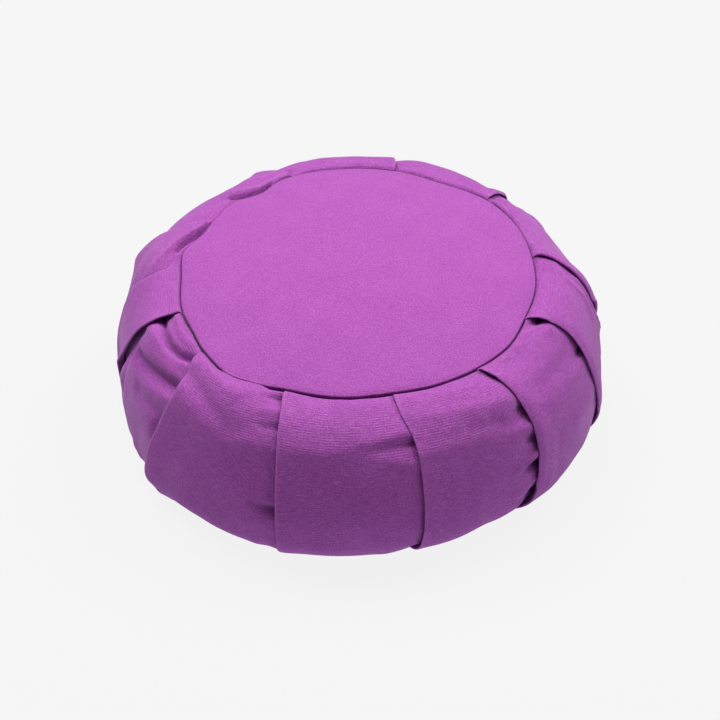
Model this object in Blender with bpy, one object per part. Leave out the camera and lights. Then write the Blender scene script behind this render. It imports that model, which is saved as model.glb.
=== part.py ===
"""Round pleated meditation cushion (zafu), standing on its lower panel.

The cover has three cut pieces: a round upper panel, a round lower panel and one long side strip, laid in
knife pleats and sewn between them. The strip's hemmed end laps over its start on the left, which is where
the filling goes in. The side is one filled solid: its outer face is the strip with its real tucks, and the
two panels lie on it as sheets. Metres, +Z up, the front at -Y, origin under the middle on the floor.
"""

import math

import bpy
import numpy as np

MM = 0.001

# The driving sizes, as the cushion stands.
WAIST_RADIUS = 0.1695
WAIST_HEIGHT = 0.030
SEAM_HEIGHT = 0.111
LOWER_SEAM_HEIGHT = 0.0012
SEAM_RADIUS = 0.1215
LOWER_SEAM_RADIUS = 0.1215
CROWN = 0.012
PANEL_THICKNESS = 0.0020
UPPER_ROUNDNESS = 2.3
LOWER_ROUNDNESS = 2.6

# The seams: both cloths dip into a groove, and the sheets keep a small gap to the filled side.
GROOVE_DEPTH = 0.0030
GROOVE_WIDTH = 0.0045
SEAM_GAP = 0.0005
SHEET_GAP = 0.00035
WALL_ROOM = 0.0006

# The weight presses the side flat near the floor, which it clears by a little.
FLOOR_ROOM = 0.0004
FLOOR_SOFTNESS = 0.0008

# Where each fold runs, anticlockwise seen from above, one row for a fold and the stretch of strip after it.
# Degrees round the cushion at five heights, from the upper seam to the lower one, then the upper seam's
# distance from the axis at the fold and midway to the next one, in millimetres.
LINE_COLUMNS = "name seam shoulder waist foot lower seam_mm mid_mm".split()
LINES = [
    ("hem", 197.0, 195.2, 192.5, 193.5, 196.0, 121.8, 122.4),
    ("b", 216.6, 219.3, 216.2, 209.0, 208.0, 124.9, 126.8),
    ("c", 247.6, 251.1, 251.9, 252.6, 252.0, 121.4, 120.3),
    ("d", 280.9, 284.0, 284.8, 281.8, 279.5, 117.6, 119.4),
    ("e", 310.2, 313.2, 314.4, 308.8, 306.0, 120.9, 121.8),
    ("f", 339.8, 340.4, 341.6, 341.0, 340.0, 119.4, 121.2),
    ("g", 371.2, 366.4, 368.6, 370.0, 371.0, 122.0, 124.6),
    ("h", 403.8, 401.0, 400.0, 402.0, 404.0, 125.2, 122.0),
    ("i", 437.4, 440.4, 441.0, 439.4, 437.4, 123.4, 123.2),
    ("j", 472.0, 476.4, 477.0, 475.0, 472.0, 123.0, 119.0),
    ("k", 507.0, 518.0, 520.6, 516.0, 510.0, 117.8, 116.4),
    ("l", 528.0, 539.4, 541.0, 538.0, 532.0, 119.8, 119.4),
]

# How each fold stands, in millimetres: how far the upper layer's lap lies outside the plain outline and how far
# the tucked side sinks inside it (at the shoulder, waist and foot), how deep the tuck runs under the lap, how
# thick the lap's rounded edge is, and how far the stretch after it swells at its shoulder and waist.
# The turn is +1 where the next stretch laps over this one, and -1 at the hemmed end, which laps the other way.
FORM_COLUMNS = (
    "name lip_shoulder lip_waist lip_foot sink_shoulder sink_waist sink_foot tuck nose puff_high puff_waist turn"
).split()
FORMS = [
    ("hem", 0.0, -2.0, -0.4, 4.4, 6.4, 4.8, 9.0, 2.4, -1.4, -0.8, -1),
    ("b", 2.0, 4.2, 3.2, 1.8, 2.5, 2.0, 10.0, 3.0, 1.0, 1.6, 1),
    ("c", 1.4, 2.2, 4.0, 1.4, 1.4, -0.8, 9.0, 2.4, 0.8, 0.6, 1),
    ("d", 1.4, 1.6, 1.6, 2.4, 2.4, 1.6, 9.0, 2.4, 0.8, -1.0, 1),
    ("e", 2.0, 1.6, -1.8, 3.4, 4.4, 5.0, 11.0, 3.4, 0.6, -0.4, 1),
    ("f", 2.4, 1.6, 0.8, 4.2, 4.8, 3.2, 12.0, 3.6, 1.2, 0.4, 1),
    ("g", 2.6, 2.0, 1.0, 4.4, 4.6, 3.2, 12.0, 3.6, -4.0, -6.4, 1),
    ("h", -0.6, -0.4, 0.2, 4.0, 3.6, 2.6, 11.0, 3.0, -1.2, -1.6, 1),
    ("i", 1.8, 1.6, 1.0, 2.8, 3.0, 2.6, 10.0, 3.0, 0.0, 0.0, 1),
    ("j", 0.8, 0.8, 1.0, 3.0, 3.2, 2.6, 10.0, 3.0, -1.0, -2.0, 1),
    ("k", 4.2, 4.2, 2.2, 3.0, 3.2, 2.6, 10.0, 3.0, 3.2, -0.6, 1),
    ("l", 0.0, -1.2, 0.0, 3.2, 4.8, 3.6, 7.0, 2.6, -1.6, -2.2, 1),
]
FOLDS = [
    dict(zip(LINE_COLUMNS + FORM_COLUMNS, line + form, strict=True))
    for line, form in zip(LINES, FORMS, strict=True)
]
STATIONS = (0.0, 0.2, 0.5, 0.8, 1.0)
TURN = 360.0

# At the seams the layers are sewn flat: the step there, and how far along the strip each tuck opens.
SEAM_LIP = 0.9
SEAM_SINK = 0.3
LAP_REACH = 15.0
SINK_REACH = 13.0
TUCK_GAP = 0.45
TUCK_START = 0.035
TUCK_FULL = 0.13
UNDERSIDE_RELIEF = 0.25

# The main creases that show from a step away: where each starts and ends (degrees, share of the strip's
# width from the upper seam), how wide it is and how far it stands out, or sinks where negative, in millimetres.
CREASES = [
    dict(name="ridge_k", start=(152.0, 0.02), end=(178.0, 0.21), width=4.6, height=3.0),
    dict(name="valley_hem", start=(205.5, 0.04), end=(217.5, 0.27), width=9.0, height=-5.2),
    dict(name="hollow_c", start=(244.0, 0.10), end=(250.0, 0.13), width=5.0, height=-1.8),
    dict(name="foot_c", start=(243.0, 0.55), end=(251.0, 0.58), width=6.0, height=-2.2),
    dict(name="hollow_d", start=(274.0, 0.21), end=(283.5, 0.19), width=6.0, height=-2.6),
    dict(name="hollow_e", start=(304.0, 0.27), end=(313.0, 0.31), width=7.0, height=-2.2),
    dict(name="foot_e", start=(306.0, 0.46), end=(313.5, 0.48), width=6.0, height=-2.4),
    dict(name="hollow_f", start=(331.0, 0.10), end=(339.0, 0.07), width=6.0, height=-2.0),
    dict(name="hollow_g", start=(0.0, 0.12), end=(6.0, 0.05), width=5.0, height=-2.0),
    dict(name="trough_j", start=(117.0, 0.015), end=(143.0, 0.03), width=4.5, height=-3.4),
    dict(name="trough_k", start=(152.0, 0.03), end=(170.0, 0.14), width=4.0, height=-1.6),
]

# How finely the solids are cut.
ROWS = 20
PANEL_POINTS = 7
RIM_POINTS = 60
PANEL_RINGS = (0.34, 0.64, 0.84, 0.945, 1.0)

CLOTH_COLOUR = (0.545, 0.138, 0.578, 1.0)
CLOTH_ROUGHNESS = 0.85


def clear_scene():
    for thing in list(bpy.data.objects):
        bpy.data.objects.remove(thing)


def smooth_step(low, high, value):
    """0 below low, 1 above high, and a smooth rise between them."""
    share = min(max((value - low) / (high - low), 0.0), 1.0)
    return share * share * (3.0 - 2.0 * share)


def profile_curve(samples=400):
    """The side's outline from the upper seam to the lower one, as even steps of its length: radius, height."""
    quarter = np.linspace(0.0, math.pi / 2, samples)
    across, along = np.cos(quarter), np.sin(quarter)
    upper_bulge = WAIST_RADIUS - SEAM_RADIUS
    lower_bulge = WAIST_RADIUS - LOWER_SEAM_RADIUS
    upper = np.stack(
        [
            SEAM_RADIUS + upper_bulge * across ** (2 / UPPER_ROUNDNESS),
            WAIST_HEIGHT + (SEAM_HEIGHT - WAIST_HEIGHT) * along ** (2 / UPPER_ROUNDNESS),
        ],
        axis=1,
    )
    lower = np.stack(
        [
            LOWER_SEAM_RADIUS + lower_bulge * across ** (2 / LOWER_ROUNDNESS),
            WAIST_HEIGHT - (WAIST_HEIGHT - LOWER_SEAM_HEIGHT) * along ** (2 / LOWER_ROUNDNESS),
        ],
        axis=1,
    )
    line = np.concatenate([upper[::-1], lower[1:]])
    length = np.concatenate([[0.0], np.cumsum(np.hypot(*np.diff(line, axis=0).T))])
    return line, length


PROFILE, PROFILE_LENGTH = profile_curve()
STRIP_WIDTH = float(PROFILE_LENGTH[-1])


def profile_at(share):
    """Radius, height and the outward direction (radial, up) at a share of the strip's width."""
    along = share * STRIP_WIDTH
    radius, height = (np.interp(along, PROFILE_LENGTH, PROFILE[:, i]) for i in (0, 1))
    step = 0.0015
    before, after = max(along - step, 0.0), min(along + step, STRIP_WIDTH)
    run, rise = (
        np.interp(after, PROFILE_LENGTH, PROFILE[:, i]) - np.interp(before, PROFILE_LENGTH, PROFILE[:, i])
        for i in (0, 1)
    )
    size = math.hypot(run, rise)
    sewn = smooth_step(0.0, 0.05, share) * smooth_step(0.0, 0.05, 1.0 - share)
    return radius, height, -rise / size * sewn, run / size


def through(values, stations, place):
    """A smooth curve through the values at the stations (a cubic with even slopes)."""
    slopes = np.gradient(values, stations)
    i = min(int(np.searchsorted(stations, place, side="right")) - 1, len(stations) - 2)
    span = stations[i + 1] - stations[i]
    t = (place - stations[i]) / span
    return (
        values[i] * (1 + 2 * t) * (1 - t) ** 2
        + slopes[i] * span * t * (1 - t) ** 2
        + values[i + 1] * t * t * (3 - 2 * t)
        + slopes[i + 1] * span * t * t * (t - 1)
    )


def fold_angle(fold, share):
    line = [fold[name] for name in ("seam", "shoulder", "waist", "foot", "lower")]
    return through(np.array(line), np.array(STATIONS), share)


def seam_outline(degrees):
    """How far the sewn edge lies from the axis: a closed smooth curve through the folds' table."""
    angles, radii = [], []
    for fold, after in zip(FOLDS, FOLDS[1:] + [None], strict=True):
        following = after["seam"] if after else FOLDS[0]["seam"] + TURN
        angles += [fold["seam"], (fold["seam"] + following) / 2]
        radii += [fold["seam_mm"], fold["mid_mm"]]
    angles = np.array([a - TURN for a in angles] + angles + [a + TURN for a in angles])
    radii = np.array(radii * 3)
    start = angles[0] + TURN
    place = (degrees - start) % TURN + start
    return through(radii, angles, place) * MM


def open_share(share):
    """0 at the seams, where the layers are sewn flat, to 1 where the folds stand free."""
    return smooth_step(0.0, TUCK_FULL, share) * smooth_step(0.0, TUCK_FULL, 1.0 - share)


def tuck_share(share):
    return smooth_step(TUCK_START, TUCK_FULL, share) * smooth_step(TUCK_START, TUCK_FULL, 1.0 - share)


def standing(fold, kind, at_seam, share):
    """The fold's lip or sink at a share of the strip's width, from its shoulder, waist and foot values."""
    high, middle, low = (fold[kind + "_" + place] for place in ("shoulder", "waist", "foot"))
    line = np.array([high, high, middle, low, low])
    value = through(line, np.array(STATIONS), share)
    return at_seam + (value - at_seam) * open_share(share)


def crease_relief(degrees, share, radius):
    """The sum of the creases at a point, in millimetres."""
    total = 0.0
    for crease in CREASES:
        (a0, s0), (a1, s1) = crease["start"], crease["end"]
        middle = (a0 + a1) / 2
        turned = (degrees - middle + TURN / 2) % TURN - TURN / 2 + middle
        point = np.array([math.radians(turned) * radius, share * STRIP_WIDTH]) / MM
        low = np.array([math.radians(a0) * radius, s0 * STRIP_WIDTH]) / MM
        high = np.array([math.radians(a1) * radius, s1 * STRIP_WIDTH]) / MM
        along = np.clip((point - low) @ (high - low) / ((high - low) @ (high - low)), 0.0, 1.0)
        away = point - low - along * (high - low)
        total += crease["height"] * math.exp(-(away @ away) / crease["width"] ** 2)
    return total


def stretch_relief(fold, after, degrees, share, start, end, radius):
    """How far the strip between two folds lies outside the plain outline, in millimetres."""
    from_start = abs(math.radians(degrees - start)) * radius / MM
    to_end = abs(math.radians(end - degrees)) * radius / MM
    place = min(max((degrees - start) / (end - start), 0.0), 1.0)
    dome = 4.0 * place * (1.0 - place)
    swell = fold["puff_high"] * smooth_step(0.0, 0.07, share) * smooth_step(0.0, 0.22, 0.34 - share)
    swell += fold["puff_waist"] * smooth_step(0.1, 0.5, share) * smooth_step(0.0, 0.25, 1.0 - share)
    relief = swell * dome
    near_start = math.exp(-((from_start / (LAP_REACH if fold["turn"] > 0 else SINK_REACH)) ** 1.5))
    near_end = math.exp(-((to_end / (SINK_REACH if after["turn"] > 0 else LAP_REACH)) ** 1.5))
    for fold_here, near, laps in ((fold, near_start, fold["turn"] > 0), (after, near_end, after["turn"] < 0)):
        if laps:
            relief += near * standing(fold_here, "lip", SEAM_LIP, share)
        else:
            relief -= near * standing(fold_here, "sink", SEAM_SINK, share)
    relief += crease_relief(degrees, share, radius)
    return relief * (1.0 - (1.0 - UNDERSIDE_RELIEF) * smooth_step(0.84, 0.97, share))


def fold_section(fold, share, lap_out, sunk_out):
    """One tuck cut across: (across, out) points in millimetres, from the tucked side round the lap's nose.

    Across is measured from the fold's edge and runs under the lap. At the seams the tuck closes to a step.
    """
    room = lap_out - sunk_out
    nose = min(fold["nose"], 0.72 * room)
    tuck = fold["tuck"]
    free = [
        (-0.5, sunk_out),
        (0.45 * tuck, sunk_out - 0.1),
        (tuck, sunk_out - 0.1),
        (tuck, sunk_out - 0.1 + TUCK_GAP),
        (0.5 * tuck, sunk_out + 0.35 * (room - nose) + TUCK_GAP * 0.6),
        (0.9, lap_out - nose),
        (-0.30 * nose, lap_out - 0.72 * nose),
        (-0.36 * nose, lap_out - 0.36 * nose),
        (-0.02 * nose, lap_out - 0.05 * nose),
    ]
    shut = [
        (-1.0 + 0.22 * i, sunk_out + room * smooth_step(0.0, 8.0, i)) for i in range(len(free))
    ]
    part = tuck_share(share)
    return [
        ((1 - part) * s[0] + part * f[0], (1 - part) * s[1] + part * f[1])
        for s, f in zip(shut, free, strict=True)
    ]


def section(share):
    """The strip cut level at a share of its width: (degrees, millimetres outward) all the way round."""
    radius = profile_at(share)[0]
    points = []
    for number, fold in enumerate(FOLDS):
        after = dict(FOLDS[(number + 1) % len(FOLDS)])
        start = fold_angle(fold, share)
        end = fold_angle(after, share) + (TURN if number == len(FOLDS) - 1 else 0.0)
        before = FOLDS[number - 1]
        before_start = fold_angle(before, share) - (TURN if number == 0 else 0.0)
        reach = math.degrees(1.5 * MM / radius)

        def own(degrees, fold=fold, after=after, start=start, end=end):
            return stretch_relief(fold, after, degrees, share, start, end, radius)

        def earlier(degrees, fold=fold, before=before, start=start, before_start=before_start):
            return stretch_relief(before, fold, degrees, share, before_start, start, radius)

        this_side, that_side = own(start), earlier(start)
        if fold["turn"] > 0:
            tuck = fold_section(fold, share, this_side, that_side)
        else:
            tuck = [(-across, out) for across, out in fold_section(fold, share, that_side, this_side)][::-1]
        points += [(start + math.degrees(across * MM / radius), out) for across, out in tuck]
        margins = (3.0, 9.0)
        first = [start + reach * m / 1.5 for m in margins]
        last = [end - reach * m / 1.5 for m in margins[::-1]]
        inner = np.linspace(first[-1], last[0], PANEL_POINTS + 2)[1:-1]
        points += [(a, own(a)) for a in [*first, *inner, *last]]
    return points


def side_row(share):
    """One ring of the strip's outer face, in metres."""
    radius, height, radial, up = profile_at(share)
    seam_pull = (1.0 - smooth_step(0.0, 0.55, share)) + (1.0 - smooth_step(0.0, 0.45, 1.0 - share))
    groove = GROOVE_DEPTH * (
        math.exp(-share * STRIP_WIDTH / GROOVE_WIDTH) + math.exp(-(1.0 - share) * STRIP_WIDTH / GROOVE_WIDTH)
    )
    row = []
    for degrees, out in section(share):
        distance = radius + SEAM_GAP + (seam_outline(degrees) - SEAM_RADIUS) * seam_pull
        offset = out * MM - groove
        turned = math.radians(degrees)
        flat = distance + offset * radial
        lift = (height + offset * up - FLOOR_ROOM) / FLOOR_SOFTNESS
        level = FLOOR_ROOM + FLOOR_SOFTNESS * (lift if lift > 30.0 else math.log1p(math.exp(lift)))
        row.append((flat * math.cos(turned), flat * math.sin(turned), level))
    return row


def panel_height(share, crown):
    """How far a round panel rises over its seam at a share of its radius: a crown that turns down at the rim."""
    rim = (1.0 - share) * SEAM_RADIUS
    return crown * (1.0 - share**2.4) - GROOVE_DEPTH * math.exp(-rim / GROOVE_WIDTH)


def lower_height(share):
    """The lower panel: flat on the floor, turning up to its seam near the rim."""
    rim = (1.0 - share) * LOWER_SEAM_RADIUS
    return (LOWER_SEAM_HEIGHT + GROOVE_DEPTH) * math.exp(-((rim / 0.0085) ** 1.6))


def ring(share, height, shrink=0.0, count=RIM_POINTS):
    """A closed ring inside the seam's outline, at a share of its radius."""
    points = []
    for step in range(count):
        degrees = TURN * step / count
        distance = share * (seam_outline(degrees) - shrink)
        turned = math.radians(degrees)
        points.append((distance * math.cos(turned), distance * math.sin(turned), height))
    return points


def mesh_object(name, points, faces):
    mesh = bpy.data.meshes.new(name)
    mesh.from_pydata(points, [], faces)
    mesh.validate()
    mesh.shade_smooth()
    thing = bpy.data.objects.new(name, mesh)
    bpy.context.scene.collection.objects.link(thing)
    return thing


def bridge(points, faces, low, high):
    """Triangles between two closed rings of point numbers, of any counts, that start at their own angles."""
    def angle(i):
        return math.atan2(points[i][1], points[i][0]) % (2 * math.pi)

    def unrolled(numbers):
        shift = min(range(len(numbers)), key=lambda i: angle(numbers[i]))
        numbers = numbers[shift:] + numbers[:shift]
        return numbers + numbers[:1], [angle(i) for i in numbers] + [angle(numbers[0]) + 2 * math.pi]

    (a, a_angles), (b, b_angles) = unrolled(low), unrolled(high)
    i = j = 0
    while i < len(a) - 1 or j < len(b) - 1:
        if j == len(b) - 1 or (i < len(a) - 1 and a_angles[i + 1] <= b_angles[j + 1]):
            faces.append((a[i], a[i + 1], b[j]))
            i += 1
        else:
            faces.append((a[i], b[j + 1], b[j]))
            j += 1


def build_sheet(name, heights, outward):
    """A round sheet of cloth: two faces a thickness apart, closed at the rim. Outward is +1 up or -1 down."""
    points, faces, rims = [], [], []
    for inner in (False, True):
        drop = -outward * PANEL_THICKNESS if inner else 0.0
        levels = []
        for share in PANEL_RINGS:
            levels.append(list(range(len(points), len(points) + RIM_POINTS)))
            points += ring(share, heights(share) + drop)
        middle = len(points)
        points.append((0.0, 0.0, heights(0.0) + drop))
        up = (outward > 0) != inner
        for step in range(RIM_POINTS):
            following = (step + 1) % RIM_POINTS
            fan = (middle, levels[0][step], levels[0][following])
            faces.append(fan if up else fan[::-1])
            for inside, outside in zip(levels, levels[1:], strict=False):
                quad = (inside[step], outside[step], outside[following], inside[following])
                faces.append(quad if up else quad[::-1])
        rims.append(levels[-1])
    face, back = rims if outward > 0 else rims[::-1]
    for step in range(RIM_POINTS):
        following = (step + 1) % RIM_POINTS
        faces.append((back[step], back[following], face[following], face[step]))
    return mesh_object(name, points, faces)


def build_side(name):
    """The filled side: the pleated strip's outer face, its two sewn edges, and the filling's ends under the panels."""
    shares = [smooth_rows(i / (ROWS - 1)) for i in range(ROWS)]
    points, faces, rows = [], [], []
    for share in shares:
        row = side_row(share)
        rows.append(list(range(len(points), len(points) + len(row))))
        points += row
    count = len(rows[0])
    for upper, lower in zip(rows, rows[1:], strict=False):
        for step in range(count):
            following = (step + 1) % count
            faces.append((upper[step], lower[step], lower[following], upper[following]))
    for edge, heights, outward in ((rows[0], upper_panel, 1), (rows[-1], lower_panel, -1)):
        drop = outward * (PANEL_THICKNESS + SHEET_GAP)
        wall = list(range(len(points), len(points) + count))
        points += [(points[i][0], points[i][1], heights(1.0) - drop - outward * WALL_ROOM) for i in edge]
        level = wall
        for step in range(count):
            following = (step + 1) % count
            quad = (edge[step], edge[following], wall[following], wall[step])
            faces.append(quad if outward > 0 else quad[::-1])
        for share in PANEL_RINGS[-2::-1]:
            ring_numbers = list(range(len(points), len(points) + RIM_POINTS))
            points += ring(share, heights(share) - drop)
            made = []
            bridge(points, made, level, ring_numbers)
            faces += made if outward > 0 else [f[::-1] for f in made]
            level = ring_numbers
        middle = len(points)
        points.append((0.0, 0.0, heights(0.0) - drop))
        for step in range(RIM_POINTS):
            fan = (middle, level[step], level[(step + 1) % RIM_POINTS])
            faces.append(fan if outward > 0 else fan[::-1])
    return mesh_object(name, points, faces)


def smooth_rows(share):
    """Rows lie closer together near the two seams, where the tucks open."""
    return share - 0.11 * math.sin(2 * math.pi * share)


def upper_panel(share):
    return SEAM_HEIGHT + panel_height(share, CROWN)


def lower_panel(share):
    return lower_height(share)


def cloth_material(name):
    cloth = bpy.data.materials.new(name)
    cloth.use_nodes = True
    shader = cloth.node_tree.nodes["Principled BSDF"]
    shader.inputs["Base Color"].default_value = CLOTH_COLOUR
    shader.inputs["Roughness"].default_value = CLOTH_ROUGHNESS
    shader.inputs["Metallic"].default_value = 0.0
    return cloth


def stand_on_origin(things):
    """Hangs the pieces on one empty, placed so that the box round them all stands centred on the origin."""
    corners = np.array([v.co[:] for thing in things for v in thing.data.vertices])
    low, high = corners.min(axis=0), corners.max(axis=0)
    axis = bpy.data.objects.new("cushion_axis", None)
    axis.location = (-(low[0] + high[0]) / 2, -(low[1] + high[1]) / 2, -low[2])
    bpy.context.scene.collection.objects.link(axis)
    for thing in things:
        thing.parent = axis


def build():
    clear_scene()
    pieces = {
        "pleated_side": build_side("pleated_side"),
        "top_panel": build_sheet("top_panel", upper_panel, 1),
        "bottom_panel": build_sheet("bottom_panel", lower_panel, -1),
    }
    for name, thing in pieces.items():
        thing.data.materials.append(cloth_material(name + "_cotton"))
    stand_on_origin(list(pieces.values()))


build()
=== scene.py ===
"""The looks of a round pleated meditation cushion: its cloth in full detail, the cotton, light and camera.

The cloth follows the same lines as the solids: a plain outline turned round the axis, and on it one long side
strip laid in knife pleats, whose hemmed end laps over its start. Angles run anticlockwise seen from above,
with the front at 270 degrees. A share runs across the strip, from 0 at the upper seam to 1 at the lower one.
"""

import math

import bpy
import numpy as np
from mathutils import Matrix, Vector


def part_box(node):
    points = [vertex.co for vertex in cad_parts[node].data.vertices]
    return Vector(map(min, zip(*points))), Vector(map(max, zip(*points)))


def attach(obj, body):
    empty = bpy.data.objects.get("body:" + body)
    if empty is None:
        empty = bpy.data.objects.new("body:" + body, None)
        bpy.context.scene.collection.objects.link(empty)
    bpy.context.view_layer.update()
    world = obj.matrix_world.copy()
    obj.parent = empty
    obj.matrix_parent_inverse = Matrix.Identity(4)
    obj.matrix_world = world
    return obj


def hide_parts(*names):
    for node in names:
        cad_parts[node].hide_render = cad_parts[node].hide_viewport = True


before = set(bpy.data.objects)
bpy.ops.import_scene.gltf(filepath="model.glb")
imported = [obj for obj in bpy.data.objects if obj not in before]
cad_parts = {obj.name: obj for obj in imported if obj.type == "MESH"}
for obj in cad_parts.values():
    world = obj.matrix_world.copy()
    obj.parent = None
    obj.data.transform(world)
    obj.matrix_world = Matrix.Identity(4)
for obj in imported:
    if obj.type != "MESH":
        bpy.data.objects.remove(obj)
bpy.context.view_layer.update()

MM = 0.001
TURN = 360.0

# The cushion's driving sizes, as in its solids.
WAIST_RADIUS = 0.1695
WAIST_HEIGHT = 0.030
SEAM_HEIGHT = 0.111
LOWER_SEAM_HEIGHT = 0.0012
SEAM_RADIUS = 0.1215
CROWN = 0.012
UPPER_ROUNDNESS = 2.3
LOWER_ROUNDNESS = 2.6
FLOOR_ROOM = 0.0004
FLOOR_SOFTNESS = 0.0008

# The seams, where both cloths turn down together into a narrow groove.
GROOVE_DEPTH = 0.0034
GROOVE_WIDTH = 0.0017
GROOVE_POWER = 1.3
SEAM_GAP = 0.00030
CLOTH_THICKNESS = 0.0011
BOTTOM_LIFT = 0.0003

# How open the upper seam's groove is round the panel: (degrees, share). Gathered cloth closes it in places.
SEAM_OPEN = np.array(
    [(0.0, 0.6), (40.0, 0.8), (60.0, 1.0), (111.0, 1.0), (116.0, 0.3), (140.0, 0.2), (168.0, 0.2),
     (172.5, 0.7), (195.0, 0.7), (200.0, 1.0), (224.5, 1.0), (228.0, 0.15), (240.0, 0.15), (243.5, 1.0),
     (288.0, 1.0), (300.0, 0.7), (350.0, 0.6)]
)

# Where gathered cloth pushes the upper seam in or out: (degrees, half width in degrees, millimetres).
SEAM_BUMPS = ((125.5, 6.0, -3.8), (138.0, 5.0, 2.6), (165.5, 8.0, 2.8), (229.5, 7.0, 2.2), (242.5, 3.5, 0.8))
BUMP_REACH = 0.14

# How much painted shade darkens the cloth in the groove, on the strip's side and on the panel's turned-down
# edge.
SEAM_SHADE = 0.85
SEAM_SHADE_WIDTH = 1.1
EDGE_SHADE = 0.9

# How far from each seam, as a share of the strip's width, the sewn edge's outline still shows.
UPPER_PULL = 0.55
LOWER_PULL = 0.45
SEWN_SHARE = 0.05
SLOPE_STEP = 0.0015

# Where each fold runs: its lap's edge in degrees at a row of shares of the strip's width.
LAP_SHARES = np.array([0.0, 0.05, 0.1, 0.2, 0.3, 0.4, 0.5, 0.6, 0.7, 0.8, 1.0])
LINES = {
    "hem": (196.8, 196.1, 195.7, 194.4, 193.0, 190.6, 187.7, 188.3, 190.4, 192.6, 196.0),
    "b": (216.4, 217.6, 219.2, 220.5, 219.3, 217.8, 215.8, 214.5, 214.2, 215.0, 214.0),
    "c": (247.3, 248.3, 249.4, 250.7, 251.4, 251.8, 252.1, 252.3, 252.2, 252.0, 251.5),
    "d": (280.9, 281.3, 281.8, 283.9, 284.6, 284.8, 284.8, 284.6, 283.9, 282.6, 280.0),
    "e": (310.4, 311.2, 312.6, 314.0, 314.8, 315.0, 314.9, 314.5, 313.0, 310.2, 306.0),
    "f": (339.4, 340.2, 341.3, 342.0, 341.5, 341.9, 342.8, 344.2, 344.0, 342.4, 340.0),
    "g": (370.9, 368.7, 366.2, 363.6, 363.5, 365.6, 368.2, 370.0, 371.2, 371.4, 371.0),
    "h": (403.2, 404.8, 405.4, 406.4, 406.5, 406.5, 406.0, 405.0, 405.0, 404.0, 404.0),
    "i": (437.4, 438.2, 439.0, 440.4, 440.8, 441.0, 441.0, 440.6, 440.0, 439.4, 437.4),
    "j": (472.0, 474.5, 477.0, 480.3, 481.0, 481.0, 480.0, 479.0, 478.0, 476.0, 472.0),
    "k": (508.6, 513.0, 515.6, 518.0, 519.8, 521.0, 520.6, 519.5, 518.0, 516.0, 510.0),
    "l": (527.5, 534.5, 536.3, 537.0, 538.5, 540.0, 541.0, 540.5, 539.5, 538.0, 532.0),
}

# How each fold stands, in millimetres: the upper seam's distance from the axis at the fold and midway to the
# next one, the lap's height over the plain outline and the tucked side's depth under it (at the shoulder, the
# waist and the foot), the tuck's depth under the lap, the lap edge's thickness, and the swelling of the cloth
# after it at its shoulder and waist. The turn is -1 at the hemmed end, which laps the other way.
FORM_COLUMNS = (
    "name seam_mm mid_mm lip_shoulder lip_waist lip_foot sink_shoulder sink_waist sink_foot tuck nose"
    " puff_high puff_waist turn"
).split()
FORMS = [
    ("hem", 121.1, 121.0, 0.0, -2.4, -7.4, 4.4, 8.6, 12.0, 9.0, 1.6, -1.4, -3.2, -1),
    ("b", 123.9, 124.6, 2.0, 1.4, 4.6, 1.4, 0.6, -0.6, 10.0, 1.2, 1.0, -0.8, 1),
    ("c", 119.4, 118.3, 1.4, 2.2, 3.4, 1.0, 1.8, -3.6, 9.0, 1.1, 1.3, 0.6, 1),
    ("d", 116.0, 117.2, 1.4, 1.6, 0.6, 0.5, 1.6, 3.0, 9.0, 1.1, 1.6, -1.0, 1),
    ("e", 118.6, 119.9, 3.2, 3.0, -1.8, 0.8, 2.8, 6.2, 11.0, 1.7, -2.2, -0.3, 1),
    ("f", 118.0, 119.9, 3.4, 3.2, 1.0, 0.2, 0.6, 2.2, 12.0, 1.6, 1.6, -0.4, 1),
    ("g", 121.0, 124.2, 7.8, -1.6, 0.6, -1.4, 2.6, 2.2, 12.0, 2.6, -8.4, -7.0, 1),
    ("h", 125.2, 121.1, -1.6, -1.6, -0.8, 4.8, 4.2, 3.2, 9.0, 1.4, 0.0, -1.6, 1),
    ("i", 122.8, 122.7, 0.8, 1.2, 1.0, 2.0, 2.6, 2.4, 10.0, 1.4, 0.6, 0.0, 1),
    ("j", 123.0, 118.7, 0.4, 1.0, 1.0, 7.2, 4.6, 2.4, 10.0, 1.4, 0.6, -1.6, 1),
    ("k", 117.8, 116.1, 3.6, 2.6, 2.0, 1.4, 2.4, 2.4, 10.0, 1.3, 3.2, -2.2, 1),
    ("l", 119.6, 118.9, 0.2, -1.6, -0.6, 1.6, 3.6, 3.6, 7.0, 1.1, -1.6, -3.0, 1),
]
FOLDS = [dict(zip(FORM_COLUMNS, form, strict=True), line=LINES[form[0]]) for form in FORMS]
STATIONS = np.array([0.0, 0.2, 0.5, 0.8, 1.0])

# The folds' heights at the seams, and how far a lap and a tucked side are felt from the fold, in millimetres.
SEAM_LIP = 0.9
SEAM_SINK = 0.3
LAP_REACH = 15.0
SINK_REACH = 9.0
REACH_POWER = 1.5

# The tuck under each lap, in millimetres, and the shares of the strip's width at which it and the fold open.
TUCK_GAP = 0.45
TUCK_COVER = 2.4
MOST_NOSE = 0.86
TUCK_START = 0.004
TUCK_FULL = 0.035
OPEN_FULL = 0.055

# The swelling of each stretch and the flatter underside, in shares of the strip's width.
SHOULDER_RISE = 0.07
SHOULDER_FALL = 0.22
SHOULDER_END = 0.34
WAIST_START = 0.1
WAIST_FULL = 0.5
WAIST_FALL = 0.25
UNDERSIDE_RELIEF = 0.25
UNDERSIDE_START = 0.84
UNDERSIDE_FULL = 0.97

# The room that a tucked side keeps under its lap, in millimetres.
LEAST_ROOM = 1.1
ROOM_SLOPE = 0.45
ROOM_SOFTNESS = 0.2
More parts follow.
